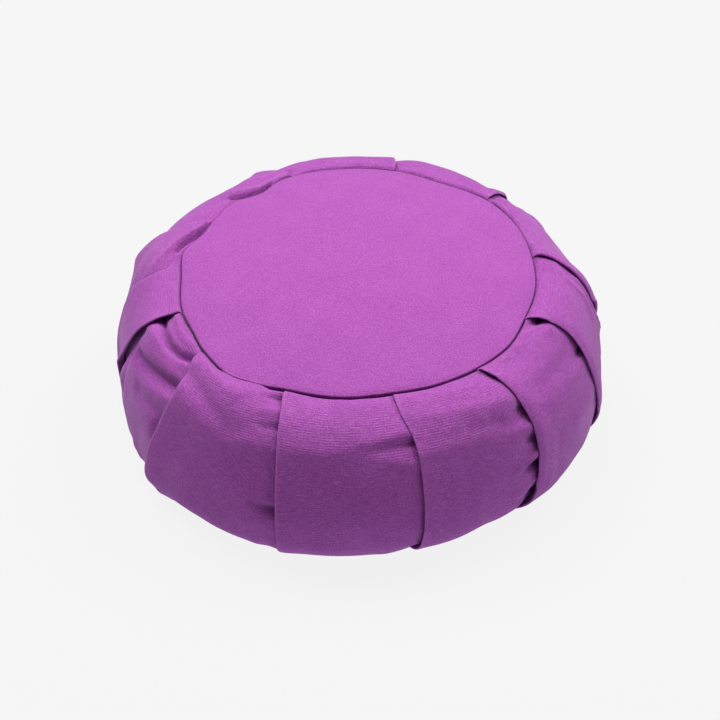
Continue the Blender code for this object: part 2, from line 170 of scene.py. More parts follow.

# A sharp crease's crest and its wear and painted highlight, a pinched trough's painted shade, and the wear
# and painted highlight along a lap's edge, in millimetres.
CREST_WIDTH = 0.9
CREST_ROUNDING = 0.3
CREST_START = 0.55
PINCH_REACH = 0.8
WEAR_AND_HIGHLIGHT_REACH = 1.6
WEAR_AND_HIGHLIGHT_DEPTH = 2.2


def ridge(width, heights, *path, sharp=False, shade=None):
    """A crease: its half width and its height at both ends, in millimetres, and its points (degrees, share).

    A trough's height is negative. A sharp crease has a crest like a roof's. Painted shade darkens the cloth
    in a pinched trough, by a share at both ends.
    """
    return {"width": width, "heights": heights, "path": np.array(path), "sharp": sharp, "shade": shade}


# The creases of each stretch, which is named by the fold that it follows.
CREASES = {
    # The recessed stretch after the hem: bulges under the lap's edge with deep diagonal valleys between.
    "hem": [
        ridge(3.0, (2.4, 1.6), (197.9, 0.03), (203.5, 0.04), (208.4, 0.042), (212.4, 0.026)),
        ridge(2.8, (-5.0, -6.2), (196.6, 0.088), (201.5, 0.105), (207.4, 0.109), (212.2, 0.091),
              (216.6, 0.056), shade=(0.35, 0.5)),
        ridge(4.6, (2.4, -2.4), (196.5, 0.15), (200.0, 0.144), (204.5, 0.137), (209.5, 0.136), (214.6, 0.136),
              (219.0, 0.128)),
        ridge(5.6, (-5.0, -8.0), (199.0, 0.268), (204.5, 0.252), (211.4, 0.224), (216.8, 0.199),
              (221.0, 0.19), shade=(0.45, 0.55)),
        ridge(3.8, (-0.4, 1.0), (203.0, 0.305), (208.3, 0.282), (214.2, 0.26), (220.4, 0.244)),
        ridge(6.5, (-2.6, -3.2), (206.0, 0.36), (213.0, 0.34), (217.5, 0.345), (217.5, 0.44),
              shade=(0.15, 0.2)),
        ridge(3.6, (-1.2, -2.0), (195.0, 0.2), (195.6, 0.32), (196.2, 0.5)),
        ridge(6.0, (-2.8, -5.0), (193.0, 0.54), (195.0, 0.62), (197.0, 0.68)),
        ridge(4.6, (1.8, 1.8), (205.5, 0.67), (208.0, 0.69)),
    ],
    # The front left stretch: hollows beside the next fold, and the round shoulder.
    "b": [
        ridge(2.6, (-0.8, -3.2), (242.4, 0.052), (245.2, 0.052), (248.6, 0.046), shade=(0.0, 0.5)),
        ridge(3.4, (0.4, 2.0), (242.0, 0.12), (246.0, 0.115), (249.0, 0.105)),
        ridge(2.6, (-0.4, -2.6), (243.5, 0.176), (247.4, 0.176), (250.8, 0.168)),
        ridge(4.6, (0.6, 2.0), (240.0, 0.235), (245.0, 0.25), (251.2, 0.246)),
        ridge(2.6, (-0.3, -1.2), (250.0, 0.44), (252.1, 0.447)),
        ridge(4.2, (-1.0, -6.0), (246.4, 0.512), (249.8, 0.518), (252.6, 0.524), shade=(0.2, 0.7)),
        ridge(4.6, (0.4, 1.4), (243.0, 0.6), (252.0, 0.59)),
        ridge(7.0, (-3.8, -2.0), (220.5, 0.112), (226.0, 0.136), (232.0, 0.172), (239.0, 0.225)),
        ridge(5.0, (1.0, 1.4), (222.0, 0.03), (229.0, 0.048), (236.0, 0.08)),
        ridge(8.0, (0.5, 0.3), (222.0, 0.3), (231.0, 0.29), (239.0, 0.3)),
        ridge(22.0, (-2.0, -1.8), (219.0, 0.4), (246.0, 0.4)),
        ridge(9.0, (0.6, 2.8), (218.0, 0.74), (246.0, 0.74)),
        ridge(4.6, (2.2, 1.6), (217.6, 0.75), (220.5, 0.76)),
    ],
    # The front stretch: a fold of cloth runs out from the next fold's edge.
    "c": [
        ridge(3.6, (0.5, 1.6), (272.0, 0.19), (278.0, 0.182), (283.6, 0.165)),
        ridge(3.0, (-0.2, -3.2), (270.0, 0.226), (275.5, 0.222), (279.6, 0.214), (284.2, 0.212),
              shade=(0.0, 0.1)),
        ridge(3.8, (0.1, 2.0), (274.5, 0.262), (279.5, 0.274), (284.3, 0.29)),
        ridge(6.0, (1.4, 0.7), (253.5, 0.234), (262.0, 0.232), (271.0, 0.2)),
        ridge(18.0, (1.6, 1.9), (256.0, 0.2), (283.0, 0.19)),
        ridge(12.0, (-0.5, -0.4), (256.0, 0.42), (266.0, 0.44)),
        ridge(3.0, (-0.5, -0.5), (255.0, 0.03), (262.0, 0.02)),
        ridge(9.0, (1.0, 0.5), (254.0, 0.74), (275.0, 0.74)),
    ],
    # The front right stretch: a slanting ridge on the shoulder, and pockets under the raised lap.
    "d": [
        ridge(4.2, (0.7, 1.2), (285.0, 0.12), (290.0, 0.128), (296.0, 0.136), (303.0, 0.15), (310.0, 0.166)),
        ridge(16.0, (1.8, 1.6), (285.0, 0.23), (296.0, 0.215), (309.0, 0.19)),
        ridge(3.8, (0.0, -1.4), (289.0, 0.214), (295.0, 0.212), (301.0, 0.216), (306.0, 0.228)),
        ridge(4.6, (1.0, 0.3), (284.5, 0.256), (290.0, 0.256), (297.0, 0.254)),
        ridge(2.4, (-0.5, -1.6), (304.5, 0.022), (310.2, 0.02)),
        ridge(5.0, (-0.6, -3.0), (304.5, 0.248), (309.5, 0.252), (314.5, 0.252)),
        ridge(2.8, (-0.8, -3.0), (311.0, 0.222), (314.5, 0.222), shade=(0.2, 0.4)),
        ridge(3.4, (0.2, 2.4), (308.0, 0.3), (311.5, 0.3), (314.4, 0.308)),
        ridge(3.4, (-0.8, -3.2), (311.6, 0.35), (315.2, 0.372), shade=(0.0, 0.4)),
        ridge(2.6, (0.8, 4.0), (308.1, 0.468), (310.9, 0.449), (314.8, 0.436)),
        ridge(3.0, (-1.2, -4.8), (310.6, 0.49), (314.8, 0.504), shade=(0.1, 0.4)),
        ridge(3.0, (0.6, 2.2), (307.5, 0.585), (314.4, 0.575)),
        ridge(3.0, (-0.8, -2.4), (309.0, 0.64), (313.8, 0.65)),
        ridge(4.5, (0.6, 0.6), (292.5, 0.33), (292.3, 0.47), (292.9, 0.62)),
        ridge(15.0, (-1.8, -1.6), (302.0, 0.72), (306.0, 0.7)),
    ],
    # The right stretches: a long soft ridge along each lap's edge.
    "e": [
        ridge(4.5, (0.2, 0.8), (325.3, 0.26), (323.1, 0.325), (320.5, 0.4), (319.0, 0.51), (318.4, 0.64)),
        ridge(2.4, (-1.4, -1.4), (312.6, 0.1), (314.0, 0.2), (314.8, 0.3), (315.0, 0.4), (314.9, 0.5),
              (314.5, 0.6)),
        ridge(2.8, (-1.4, -3.6), (335.4, 0.018), (337.3, 0.024), (340.2, 0.05)),
        ridge(4.0, (0.6, 1.6), (333.5, 0.08), (339.6, 0.105)),
        ridge(8.0, (-1.8, -1.8), (322.0, 0.21), (332.0, 0.23), (339.8, 0.23)),
        ridge(16.0, (-0.6, -1.4), (333.0, 0.12), (328.3, 0.267), (321.6, 0.354), (318.5, 0.49)),
        ridge(8.0, (0.8, 1.2), (332.0, 0.47), (340.6, 0.45)),
        ridge(3.0, (-0.6, -2.8), (337.0, 0.275), (341.6, 0.27)),
    ],
    "f": [
        ridge(2.4, (1.4, 1.8), (366.2, 0.078), (363.0, 0.093), (360.7, 0.125), (359.7, 0.163), (359.3, 0.209),
              (358.4, 0.251), (356.8, 0.31), sharp=True),
        ridge(1.8, (1.4, 2.0), (363.0, 0.165), (361.8, 0.21), (361.1, 0.26), (361.1, 0.32), (361.7, 0.38),
              (362.6, 0.45), sharp=True),
        ridge(2.4, (-1.0, -1.0), (359.7, 0.006), (362.2, 0.025), (365.2, 0.05)),
        ridge(2.4, (-1.2, -1.2), (341.3, 0.1), (342.1, 0.2), (341.8, 0.3), (342.0, 0.4), (342.8, 0.5),
              (344.2, 0.6)),
        ridge(5.0, (-1.2, -1.6), (358.5, 0.42), (358.5, 0.6)),
    ],
    "g": [
        ridge(2.2, (1.4, 1.2), (401.2, 0.01), (397.3, 0.016), (392.6, 0.02), (387.6, 0.026)),
        ridge(2.8, (-1.8, -1.0), (386.0, 0.04), (382.5, 0.034), (378.6, 0.024)),
        ridge(4.0, (0.8, 1.0), (389.4, 0.086), (378.1, 0.086), (372.0, 0.13)),
        ridge(2.6, (1.0, 1.0), (385.0, 0.061), (380.4, 0.035), (375.7, 0.017)),
        ridge(3.0, (-1.2, -1.0), (379.7, 0.078), (375.8, 0.052)),
        ridge(6.0, (1.0, 1.0), (370.2, 0.15), (369.4, 0.22)),
        ridge(3.0, (-2.8, -3.4), (368.7, 0.05), (366.2, 0.1), (363.6, 0.2), (363.5, 0.3)),
        ridge(4.0, (1.6, 1.6), (393.0, 0.25), (396.5, 0.245)),
        ridge(4.0, (-1.6, -1.6), (401.6, 0.18), (402.4, 0.22)),
    ],
    # The back: small gathers beside the folds.
    "h": [
        ridge(14.0, (-2.4, -1.0), (409.0, 0.17), (415.0, 0.17)),
        ridge(4.0, (0.6, 3.0), (407.0, 0.06), (407.6, 0.22)),
        ridge(12.0, (1.2, 1.6), (419.0, 0.17), (431.0, 0.17)),
        ridge(3.6, (-0.4, -1.6), (428.0, 0.06), (438.4, 0.07)),
        ridge(5.0, (-0.4, -2.0), (426.0, 0.3), (440.5, 0.33)),
        ridge(5.0, (0.4, 1.2), (424.0, 0.42), (440.5, 0.43)),
    ],
    "i": [
        ridge(9.0, (-1.4, -2.0), (466.0, 0.17), (474.0, 0.17)),
        ridge(4.0, (-0.3, -1.8), (462.0, 0.1), (476.5, 0.12)),
        ridge(5.0, (-0.4, -2.2), (464.0, 0.46), (480.5, 0.43)),
        ridge(5.0, (0.4, 1.2), (464.0, 0.55), (479.0, 0.53)),
    ],
    # The back left: the gathered cloth stands over the panel's edge in long slanting ridges.
    "j": [
        ridge(2.0, (-4.0, -2.8), (481.5, 0.006), (484.5, 0.008), (487.5, 0.01), (490.5, 0.014), (493.6, 0.02),
              (495.6, 0.028), shade=(0.6, 0.6)),
        ridge(2.0, (1.0, 2.0), (474.0, 0.01), (477.0, 0.016), (480.5, 0.022), (485.2, 0.032), (489.5, 0.046),
              (494.8, 0.06), sharp=True),
        ridge(2.4, (1.0, 0.6), (477.6, 0.06), (481.4, 0.07), (485.0, 0.11), sharp=True),
        ridge(3.6, (1.2, 0.2), (480.9, 0.12), (481.4, 0.19)),
        ridge(8.0, (-3.8, -3.4), (483.5, 0.19), (494.0, 0.18)),
        ridge(5.0, (-0.4, -1.8), (500.0, 0.3), (518.5, 0.33)),
    ],
    "k": [
        ridge(2.0, (2.2, 1.8), (510.6, 0.004), (512.1, 0.008), (514.2, 0.018), (516.2, 0.026), (518.2, 0.034),
              (523.6, 0.046), (527.7, 0.06), (530.7, 0.084), (533.5, 0.118), (536.1, 0.152), (539.3, 0.181),
              sharp=True),
        ridge(1.6, (-3.4, -2.4), (511.4, 0.003), (515.7, 0.008), (518.2, 0.012), (520.6, 0.015),
              (523.8, 0.02), (527.1, 0.026), shade=(0.45, 0.25)),
        ridge(9.0, (1.2, 3.2), (519.0, 0.2), (521.2, 0.3)),
    ],
    "l": [
        ridge(3.6, (-0.8, -0.5), (541.0, 0.03), (552.0, 0.05)),
        ridge(6.0, (0.4, 0.6), (545.0, 0.3), (549.0, 0.52)),
    ],
}

# The cloth's own waves: wavelength in metres, height in millimetres, and the side's seeds.
SIDE_WAVES = (0.045, 0.32, 11)
SIDE_RIPPLES = (0.016, 0.07, 12)
SIDE_PUCKERS = (0.013, 0.16, 13)
PANEL_WAVES = (0.06, 0.22)
PANEL_RIPPLES = (0.02, 0.05)
PANEL_PUCKERS = (0.012, 0.12)
BOTTOM_WAVES = 0.2
PUCKER_SLANT = 0.1
FREE_SHARE = 0.06

# Where puckers lie from the seams, and how far in from the rim a panel's waves start, in millimetres.
PUCKER_PLACE = 5.0
PANEL_PUCKER_PLACE = 4.5
PANEL_PUCKER_REACH = 4.0
CALM_RIM = 6.0

# A panel's face: its crown's fullness, and its turned-down edge as (inset, drop) in millimetres.
CROWN_POWER = 2.4
TURN_START = 2.0
EDGE_TURN = ((1.5, 0.02), (0.95, 0.14), (0.5, 0.42), (0.2, 0.85), (0.04, 1.4), (0.0, 2.2), (0.1, 3.3))

# The side's hidden ends lie this far off the groove's floor, in metres.
UPPER_END_DROP = -0.004
LOWER_END_DROP = 0.003

# How finely the cloth is cut.
ROWS = 108
ROW_PULL = 0.105
FOLD_MARGIN = 3.0
RING_SPACING = 1.6
STRETCH_POINTS = 48
TUCK_SAMPLES = (3, 2, 2, 1, 2, 3, 3, 3, 3, 3)
# The painted shade inside each tuck, at the points that shape it.
TUCK_SHADES = (0.0, 0.4, 1.0, 1.0, 1.0, 1.0, 0.9, 0.35, 0.0, 0.0, 0.0)
RIM_POINTS = 288


def smooth_step(low, high, value):
    """0 below low, 1 above high, and a smooth rise between them."""
    share = np.clip((value - low) / (high - low), 0.0, 1.0)
    return share * share * (3.0 - 2.0 * share)


def off_seams(low, high, share):
    """0 within `low` of either seam, 1 beyond `high`, in shares of the strip's width."""
    return smooth_step(low, high, share) * smooth_step(low, high, 1.0 - share)


def cubic(start, end, leave, arrive, t):
    """The place at t, from 0 to 1, on a curve from start to end with these slopes at its two ends."""
    return (
        start * (1 + 2 * t) * (1 - t) ** 2
        + leave * t * (1 - t) ** 2
        + end * t * t * (3 - 2 * t)
        + arrive * t * t * (t - 1)
    )


def through(values, stations, place):
    """A smooth curve through the values at the stations."""
    values, stations = np.asarray(values, float), np.asarray(stations, float)
    slopes = np.gradient(values, stations)
    i = np.clip(np.searchsorted(stations, place, side="right") - 1, 0, len(stations) - 2)
    span = stations[i + 1] - stations[i]
    t = (place - stations[i]) / span
    return cubic(values[i], values[i + 1], slopes[i] * span, slopes[i + 1] * span, t)


def profile_curve(samples=600):
    """The side's outline from the upper seam to the lower one, and its length up to each point."""
    quarter = np.linspace(0.0, math.pi / 2, samples)
    across, along = np.cos(quarter), np.sin(quarter)
    bulge = WAIST_RADIUS - SEAM_RADIUS

    def half(seam_height, roundness):
        radius = SEAM_RADIUS + bulge * across ** (2 / roundness)
        height = WAIST_HEIGHT + (seam_height - WAIST_HEIGHT) * along ** (2 / roundness)
        return np.stack([radius, height], axis=1)

    upper, lower = half(SEAM_HEIGHT, UPPER_ROUNDNESS), half(LOWER_SEAM_HEIGHT, LOWER_ROUNDNESS)
    line = np.concatenate([upper[::-1], lower[1:]])
    length = np.concatenate([[0.0], np.cumsum(np.hypot(*np.diff(line, axis=0).T))])
    return line, length


PROFILE, PROFILE_LENGTH = profile_curve()
STRIP_WIDTH = float(PROFILE_LENGTH[-1])


def profile_at(share):
    """Radius, height and the outward direction (radial, up) at a share of the strip's width."""
    along = share * STRIP_WIDTH
    radius, height = (np.interp(along, PROFILE_LENGTH, PROFILE[:, i]) for i in (0, 1))
    before, after = np.maximum(along - SLOPE_STEP, 0.0), np.minimum(along + SLOPE_STEP, STRIP_WIDTH)
    run, rise = (
        np.interp(after, PROFILE_LENGTH, PROFILE[:, i]) - np.interp(before, PROFILE_LENGTH, PROFILE[:, i])
        for i in (0, 1)
    )
    size = np.hypot(run, rise)
    sewn = off_seams(0.0, SEWN_SHARE, share)
    return radius, height, -rise / size * sewn, run / size


def outline_stations():
    angles, radii = [], []
    for number, fold in enumerate(FOLDS):
        last = number == len(FOLDS) - 1
        following = FOLDS[0]["line"][0] + TURN if last else FOLDS[number + 1]["line"][0]
        angles += [fold["line"][0], (fold["line"][0] + following) / 2]
        radii += [fold["seam_mm"], fold["mid_mm"]]
    return np.array([a - TURN for a in angles] + angles + [a + TURN for a in angles]), np.array(radii * 3)


OUTLINE_ANGLES, OUTLINE_RADII = outline_stations()


def seam_outline(degrees):
    """How far the sewn edge lies from the axis, in metres."""
    start = FOLDS[0]["line"][0]
    return through(OUTLINE_RADII, OUTLINE_ANGLES, (degrees - start) % TURN + start) * MM


def seam_bump(degrees):
    """How far the gathered cloth pushes the upper seam out of its even outline, in metres."""
    total = np.zeros(np.shape(degrees))
    for middle, half_width, height in SEAM_BUMPS:
        away = (degrees - middle + TURN / 2) % TURN - TURN / 2
        total = total + height * MM * np.exp(-((away / half_width) ** 2))
    return total


def seam_open(degrees):
    """How open the upper seam's groove is in each direction, from 0 to 1."""
    return np.interp(degrees % TURN, SEAM_OPEN[:, 0], SEAM_OPEN[:, 1])


def fold_angle(number, share):
    """Where a fold's edge lies at each share, in degrees; fold 12 is fold 0 one turn on."""
    return through(FOLDS[number % len(FOLDS)]["line"], LAP_SHARES, share) + TURN * (number // len(FOLDS))


def standing(fold, kind, at_seam, share):
    """The fold's lip or sink at a share of the strip's width, from its shoulder, waist and foot values."""
    high, middle, low = (fold[kind + "_" + place] for place in ("shoulder", "waist", "foot"))
    value = through([high, high, middle, low, low], STATIONS, share)
    return at_seam + (value - at_seam) * off_seams(0.0, OPEN_FULL, share)


def crease_distance(crease, degrees, share, radius):
    """The squared distance from a crease's line in square millimetres, and the place along it from 0 to 1."""
    path = crease["path"]
    lengths = np.hypot(np.radians(np.diff(path[:, 0])) * WAIST_RADIUS, np.diff(path[:, 1]) * STRIP_WIDTH)
    starts = np.concatenate([[0.0], np.cumsum(lengths)]) / lengths.sum()
    shape = np.broadcast(degrees, share).shape
    nearest, place = np.full(shape, np.inf), np.zeros(shape)
    for i, ((a0, s0), (a1, s1)) in enumerate(zip(path, path[1:], strict=False)):
        run = np.radians(a1 - a0) * radius / MM
        rise = (s1 - s0) * STRIP_WIDTH / MM
        x = np.radians(degrees - a0) * radius / MM
        y = (share - s0) * STRIP_WIDTH / MM
        t = np.clip((x * run + y * rise) / (run * run + rise * rise), 0.0, 1.0)
        away = (x - t * run) ** 2 + (y - t * rise) ** 2
        place = np.where(away < nearest, starts[i] + t * (starts[i + 1] - starts[i]), place)
        nearest = np.minimum(away, nearest)
    return nearest, place


def between(ends, place):
    return ends[0] + (ends[1] - ends[0]) * place


def crease_relief(name, degrees, share, radius):
    """The sum of a stretch's creases, in millimetres."""
    total = np.zeros(np.broadcast(degrees, share).shape)
    for crease in CREASES[name]:
        nearest, place = crease_distance(crease, degrees, share, radius)
        height = between(crease["heights"], place)
        if crease["sharp"]:
            total += height * np.exp(-(np.sqrt(nearest + CREST_ROUNDING) - CREST_START) / crease["width"])
        else:
            total += height * np.exp(-nearest / crease["width"] ** 2)
    return total


def crease_marks(name, degrees, share, radius):
    """How near each point is to a sharp crest, paled by wear and a painted highlight, and its painted shade
    in pinched troughs.
    """
    crest, pinch_shade = np.zeros((2, *np.broadcast(degrees, share).shape))
    for crease in CREASES[name]:
        if not (crease["sharp"] or crease["shade"]):
            continue
        away, place = crease_distance(crease, degrees, share, radius)
        # A sharp crest is paled by wear and a painted highlight.
        if crease["sharp"]:
            crest = np.maximum(crest, np.exp(-away / CREST_WIDTH**2))
        # Painted shade darkens the cloth in a pinched trough.
        if crease["shade"]:
            shade = between(crease["shade"], place)
            pinch_shade = np.maximum(pinch_shade, shade * np.exp(-away / (PINCH_REACH * crease["width"]) ** 2))
    return crest, pinch_shade


def relief(number, degrees, share):
    """How far stretch `number` lies outside the plain outline, in millimetres."""
    fold, after = FOLDS[number % len(FOLDS)], FOLDS[(number + 1) % len(FOLDS)]
    radius = profile_at(share)[0]
    start, end = fold_angle(number, share), fold_angle(number + 1, share)
    from_start = np.abs(np.radians(degrees - start)) * radius / MM
    to_end = np.abs(np.radians(end - degrees)) * radius / MM
    place = np.clip((degrees - start) / (end - start), 0.0, 1.0)
    shoulder = smooth_step(0.0, SHOULDER_RISE, share) * smooth_step(0.0, SHOULDER_FALL, SHOULDER_END - share)
    waist = smooth_step(WAIST_START, WAIST_FULL, share) * smooth_step(0.0, WAIST_FALL, 1.0 - share)
    swell = fold["puff_high"] * shoulder + fold["puff_waist"] * waist
    total = swell * 4.0 * place * (1.0 - place)
    for edge, away, laps in ((fold, from_start, fold["turn"] > 0), (after, to_end, after["turn"] < 0)):
        near = np.exp(-((away / (LAP_REACH if laps else SINK_REACH)) ** REACH_POWER))
        if laps:
            total = total + near * standing(edge, "lip", SEAM_LIP, share)
        else:
            total = total - near * standing(edge, "sink", SEAM_SINK, share)
    turned = degrees - TURN * (number // len(FOLDS))
    total = total + crease_relief(fold["name"], turned, share, radius)
    return total * (1.0 - (1.0 - UNDERSIDE_RELIEF) * smooth_step(UNDERSIDE_START, UNDERSIDE_FULL, share))


def tuck_section(fold, share, lap_out, lap_inside, sunk_out):
    """One tuck cut across, from the side under the lap round the lap's edge: (across, out) in millimetres.

    Across is measured from the fold's edge and runs under the lap, whose own height over the tuck's middle
    and end keeps the tuck inside it. At the seams the tuck closes to a step.
    """
    room = lap_out - sunk_out
    middle, end = (np.minimum(sunk_out - 0.1, lap - TUCK_COVER) for lap in lap_inside)
    edge = np.minimum(fold["nose"], MOST_NOSE * room)
    tuck = fold["tuck"]
    free = [
        (-0.5 + 0 * room, sunk_out),
        (0.45 * tuck + 0 * room, middle),
        (tuck + 0 * room, end),
        (tuck + 0 * room, end + TUCK_GAP),
        (0.5 * tuck + 0 * room, middle + 0.1 + TUCK_GAP * 0.6 + 0.2 * np.maximum(room - edge, 0.0)),
        (0.9 + 0 * room, lap_out - edge),
        (-0.30 * edge, lap_out - 0.72 * edge),
        (-0.36 * edge, lap_out - 0.36 * edge),
        (-0.02 * edge, lap_out - 0.05 * edge),
    ]
    part = off_seams(TUCK_START, TUCK_FULL, share)
    section = []
    for i, (across, out) in enumerate(free):
        shut_across, shut_out = -1.0 + 0.22 * i + 0 * room, sunk_out + room * smooth_step(0.0, 8.0, float(i))
        section.append(((1 - part) * shut_across + part * across, (1 - part) * shut_out + part * out))
    return section


def kept_under(out, lap, away):
    """The height of the side under a lap, held under it beside the fold; the room grows with the distance."""
    most = lap - LEAST_ROOM + ROOM_SLOPE * away
    return -ROOM_SOFTNESS * np.logaddexp(-out / ROOM_SOFTNESS, -most / ROOM_SOFTNESS)


def smooth_path(points, samples):
    """Points along a smooth curve through the control points, some for each span but the first and last."""
    steps = [b - a for a, b in zip(points, points[1:])]
    spans = [np.maximum(np.linalg.norm(step, axis=-1, keepdims=True), 1e-6) for step in steps]
    units = [step / span for step, span in zip(steps, spans)]
    path = []
    for i, count in enumerate(samples, start=1):
        leave, arrive = (units[i - 1] + units[i]) / 2 * spans[i], (units[i] + units[i + 1]) / 2 * spans[i]
        path += [cubic(points[i], points[i + 1], leave, arrive, step / count) for step in range(count)]
    return path


def strip_section(share):
    """The strip's face at a column of shares: degrees, millimetres outward, and weights for the lap edges'
    wear and painted highlight and for the painted shade in tucks and pinched troughs.
    """
    radius = profile_at(share)[0]
    angle_of = 1 / np.radians(1.0) * MM / radius
    margin = FOLD_MARGIN * angle_of
    count = len(FOLDS)
    stretches, marks = [], []
    for number in range(count):
        fold, after = FOLDS[number], FOLDS[(number + 1) % count]
        start, end = fold_angle(number, share) + margin, fold_angle(number + 1, share) - margin
        place = np.linspace(0.0, 1.0, STRETCH_POINTS)[None, :]
        degrees = start + (end - start) * place
        out = relief(number, degrees, share)
        marks.append(crease_marks(fold["name"], degrees, share, radius))
        if fold["turn"] < 0:
            lap = relief(count - 1, fold_angle(count, share), share)
            out = kept_under(out, lap, (degrees - start + margin) / angle_of)
        if after["turn"] > 0:
            lap = relief((number + 1) % count, fold_angle((number + 1) % count, share), share)
            out = kept_under(out, lap, (end + margin - degrees) / angle_of)
        stretches.append((degrees, out))
    degrees_out, out_out, edge_out, painted_shade_out = [], [], [], []
    shades = np.concatenate(
        [np.linspace(a, b, n, endpoint=False) for a, b, n in zip(TUCK_SHADES, TUCK_SHADES[1:], TUCK_SAMPLES)]
    )
    for number, fold in enumerate(FOLDS):
        before = count - 1 if number == 0 else number - 1
        back = TURN if number == 0 else 0.0
        at = fold_angle(number, share)
        own = relief(number, at, share)
        earlier = relief(before, at + back, share)
        inside = [fold["turn"] * part * fold["tuck"] * angle_of for part in (0.5, 1.0)]
        if fold["turn"] > 0:
            over = [relief(number, at + step, share) for step in inside]
            tuck = tuck_section(fold, share, own, over, kept_under(earlier, own, 0.0))
        else:
            under = kept_under(own, earlier, 0.0)
            over = [relief(before, at + back + step, share) for step in inside]
            tuck = [(-across, out) for across, out in tuck_section(fold, share, earlier, over, under)][::-1]
        degrees, out = stretches[number]
        degrees_before, out_before = stretches[before]
        control = [
            np.concatenate([(degrees_before[:, -2:-1] - back - at) / angle_of, out_before[:, -2:-1]], axis=1),
            np.concatenate([(degrees_before[:, -1:] - back - at) / angle_of, out_before[:, -1:]], axis=1),
            *[np.concatenate([across, height], axis=1) for across, height in tuck],
            np.concatenate([(degrees[:, :1] - at) / angle_of, out[:, :1]], axis=1),
            np.concatenate([(degrees[:, 1:2] - at) / angle_of, out[:, 1:2]], axis=1),
        ]
        path = np.stack(smooth_path(control, TUCK_SAMPLES), axis=1)[:, 1:]
        lap = path if fold["turn"] > 0 else path[:, ::-1]
        # Lap edges are paled by wear and a painted highlight.
        near = np.exp(-((lap[:, :, 0] / WEAR_AND_HIGHLIGHT_REACH) ** 2))
        near = near * smooth_step(-WEAR_AND_HIGHLIGHT_DEPTH, 0.0, lap[:, :, 1] - lap[:, -1:, 1])
        degrees_out += [at + path[:, :, 0] * angle_of, degrees]
        out_out += [path[:, :, 1], out]
        edge_out += [near if fold["turn"] > 0 else near[:, ::-1], marks[number][0]]
        # Painted shade darkens the cloth inside each tuck.
        along = shades[1:] if fold["turn"] > 0 else shades[:0:-1]
        painted_shade_out += [off_seams(TUCK_START, TUCK_FULL, share) * along[None, :], marks[number][1]]
    return tuple(np.concatenate(parts, axis=1) for parts in (degrees_out, out_out, edge_out, painted_shade_out))


def ripples(points, wavelength, amplitude, seed, count=36):
    """Smooth uneven waves in space, the same each run: a sum of seeded plane waves about one wavelength."""
    draw = np.random.default_rng(seed)
    total = np.zeros(points.shape[:-1])
    for _ in range(count):
        direction = draw.normal(size=3)
        direction /= np.linalg.norm(direction)
        length = wavelength * draw.uniform(0.7, 1.5)
        total += np.cos(points @ direction * (2 * math.pi / length) + draw.uniform(0, 2 * math.pi))
    return amplitude * total / math.sqrt(count / 2)


def spread_rows(count, pull):
    """Shares from 0 to 1, closer together near both seams."""
    even = np.linspace(0.0, 1.0, count)
    return even - pull * np.sin(2 * math.pi * even)


def strip_surface():
    """The strip's outer face as rows of points, weights for its lap edges' wear and painted highlight and for
    its painted shade, and each row's share.
    """
    share = spread_rows(ROWS, ROW_PULL)[:, None]
    degrees, out, edge, painted_shade = strip_section(share)
    radius, height, radial, up = profile_at(share)
    turned = np.radians(degrees)
    plain = np.stack([radius * np.cos(turned), radius * np.sin(turned), height + 0 * degrees], axis=-1)
    free = off_seams(0.0, FREE_SHARE, share)
    out = out + free * (ripples(plain, *SIDE_WAVES) + ripples(plain, *SIDE_RIPPLES))
    from_seam = share * STRIP_WIDTH / MM
    to_seam = (1.0 - share) * STRIP_WIDTH / MM
    pucker = sum(np.exp(-(((away - PUCKER_PLACE) / PUCKER_PLACE) ** 2)) for away in (from_seam, to_seam))
    out = out + pucker * ripples(plain * np.array([1.0, 1.0, PUCKER_SLANT]), *SIDE_PUCKERS)
    groove = GROOVE_DEPTH / MM * (
        seam_open(degrees) * np.exp(-((from_seam * MM / GROOVE_WIDTH) ** GROOVE_POWER))
        + np.exp(-((to_seam * MM / GROOVE_WIDTH) ** GROOVE_POWER))
    )
    # Painted shade darkens the cloth along the upper seam's groove.
    seam_shade = SEAM_SHADE * seam_open(degrees) * np.exp(-((from_seam / SEAM_SHADE_WIDTH) ** 2))
    painted_shade = np.maximum(painted_shade, seam_shade)
    seam_pull = 1.0 - smooth_step(0.0, UPPER_PULL, share) + (1.0 - smooth_step(0.0, LOWER_PULL, 1.0 - share))
    distance = radius + SEAM_GAP + (seam_outline(degrees) - SEAM_RADIUS) * seam_pull
    distance = distance + seam_bump(degrees) * (1.0 - smooth_step(0.0, BUMP_REACH, share))
    offset = (out - groove) * MM
    flat = distance + offset * radial
    lift = (height + offset * up - FLOOR_ROOM) / FLOOR_SOFTNESS
    level = FLOOR_ROOM + FLOOR_SOFTNESS * np.logaddexp(0.0, lift)
    return np.stack([flat * np.cos(turned), flat * np.sin(turned), level], axis=-1), edge, painted_shade, share


def cloth_lengths(points):
    """Each point's place along the strip, measured on every row from the middle of its stretch."""
    steps = np.linalg.norm(np.roll(points, -1, axis=1) - points, axis=-1)
    along = np.concatenate([np.zeros((len(points), 1)), np.cumsum(steps, axis=1)], axis=1)
    tuck = sum(TUCK_SAMPLES) - 1
    per_fold = tuck + STRETCH_POINTS
    laid = np.empty_like(along)
    middle_row = along[len(points) // 2]
    for number in range(len(FOLDS)):
        middle = number * per_fold + tuck + STRETCH_POINTS // 2
        low, high = number * per_fold, (number + 1) * per_fold + (number == len(FOLDS) - 1)
        laid[:, low:high] = along[:, low:high] - along[:, middle : middle + 1] + middle_row[middle]
    return laid


